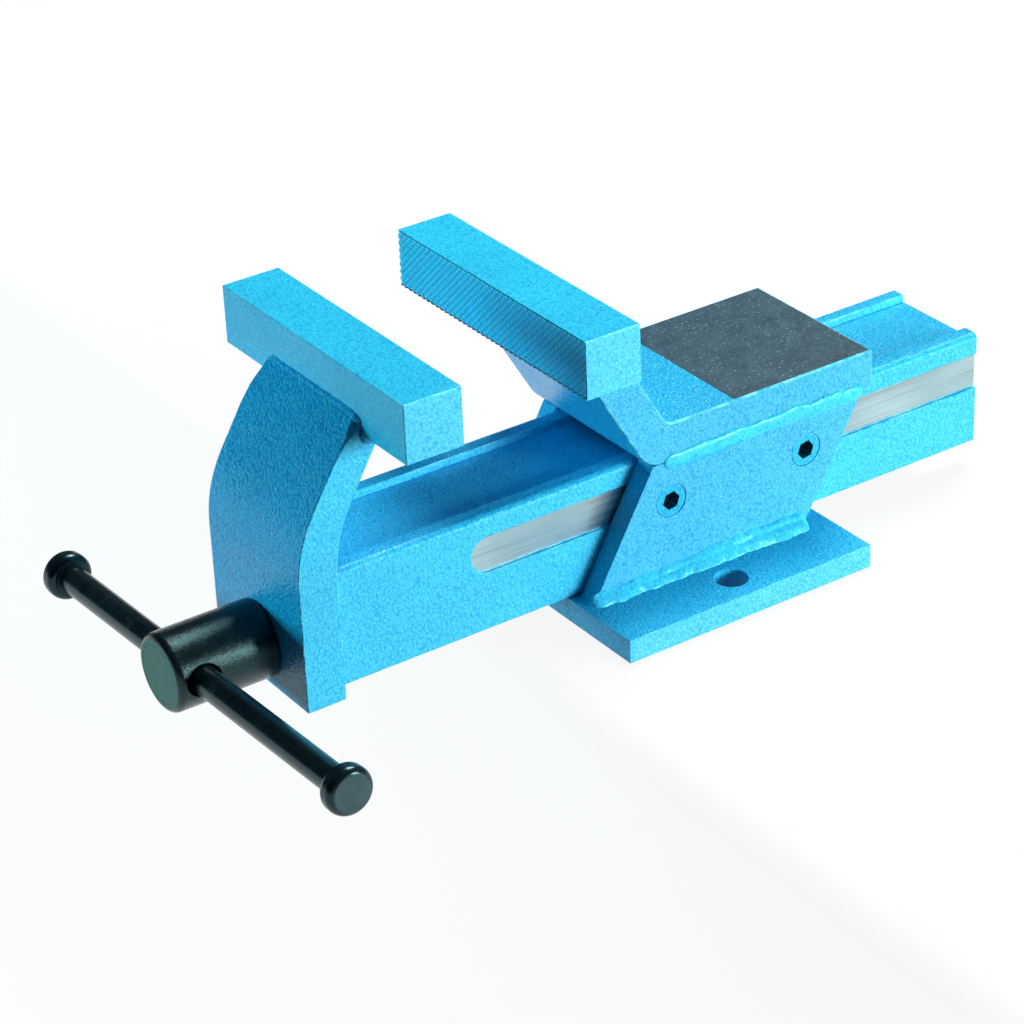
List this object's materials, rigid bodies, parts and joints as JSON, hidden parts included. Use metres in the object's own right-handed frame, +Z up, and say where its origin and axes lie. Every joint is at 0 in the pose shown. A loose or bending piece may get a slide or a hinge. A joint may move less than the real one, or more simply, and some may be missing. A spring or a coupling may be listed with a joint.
{
  "type": "parallel bench vise",
  "caption": "Welded steel parallel bench vise with toothed jaws, a hollow slide driven by a screw, a flat anvil and a sliding cross bar as handle.",
  "frame": {"origin": "centre of the base plate's underside, between the two bench bolt holes", "axes": "+X along the slide, from the handle towards the rear; +Y to the left, along the bench's edge; +Z up"},
  "size_m": [0.372, 0.2144, 0.139],
  "materials": {
    "enamel": "glossy blue hammered enamel",
    "bare_steel": "machined bare steel",
    "black_steel": "satin black oxide",
    "bronze": "machined bronze"
  },
  "bodies": {
    "fixed_body": {"base_plate": "enamel", "left_cheek": "enamel", "right_cheek": "enamel", "anvil_saddle": "enamel", "fixed_jaw": "enamel", "left_foot_weld": "enamel", "right_foot_weld": "enamel", "left_saddle_weld": "enamel", "right_saddle_weld": "enamel", "fixed_jaw_weld": "enamel", "guide_screws": "bare_steel", "spindle_nut": "bronze", "nut_screws": "bare_steel"},
    "moving_jaw": {"front_arm": "enamel", "moving_jaw_block": "enamel", "moving_jaw_weld": "enamel", "left_slide_bar": "enamel", "right_slide_bar": "enamel", "slide_plate": "enamel", "thrust_washer": "bronze"},
    "spindle": {"spindle": "black_steel", "spindle_head": "black_steel", "retaining_collar": "bare_steel", "collar_pin": "bare_steel"},
    "handle": {"handle_bar": "black_steel", "left_knob": "black_steel", "right_knob": "black_steel"}
  },
  "joints": [
    {"name": "jaw_slide", "type": "slide", "parent": "fixed_body", "child": "moving_jaw", "axis": [1, 0, 0], "range_m": [-0.096, 0.0535]},
    {"name": "spindle_turn", "type": "hinge", "parent": "moving_jaw", "child": "spindle", "pos_m": [-0.1726, 0, 0.026], "axis": [1, 0, 0], "continuous": true},
    {"name": "handle_slide", "type": "slide", "parent": "spindle", "child": "handle", "axis": [0, 0.9989, -0.0462], "range_m": [-0.0716, 0.0922]}
  ],
  "couplings": [
    {"joint": "spindle_turn", "follows": "jaw_slide", "rad_per_m": 1256.6}
  ]
}
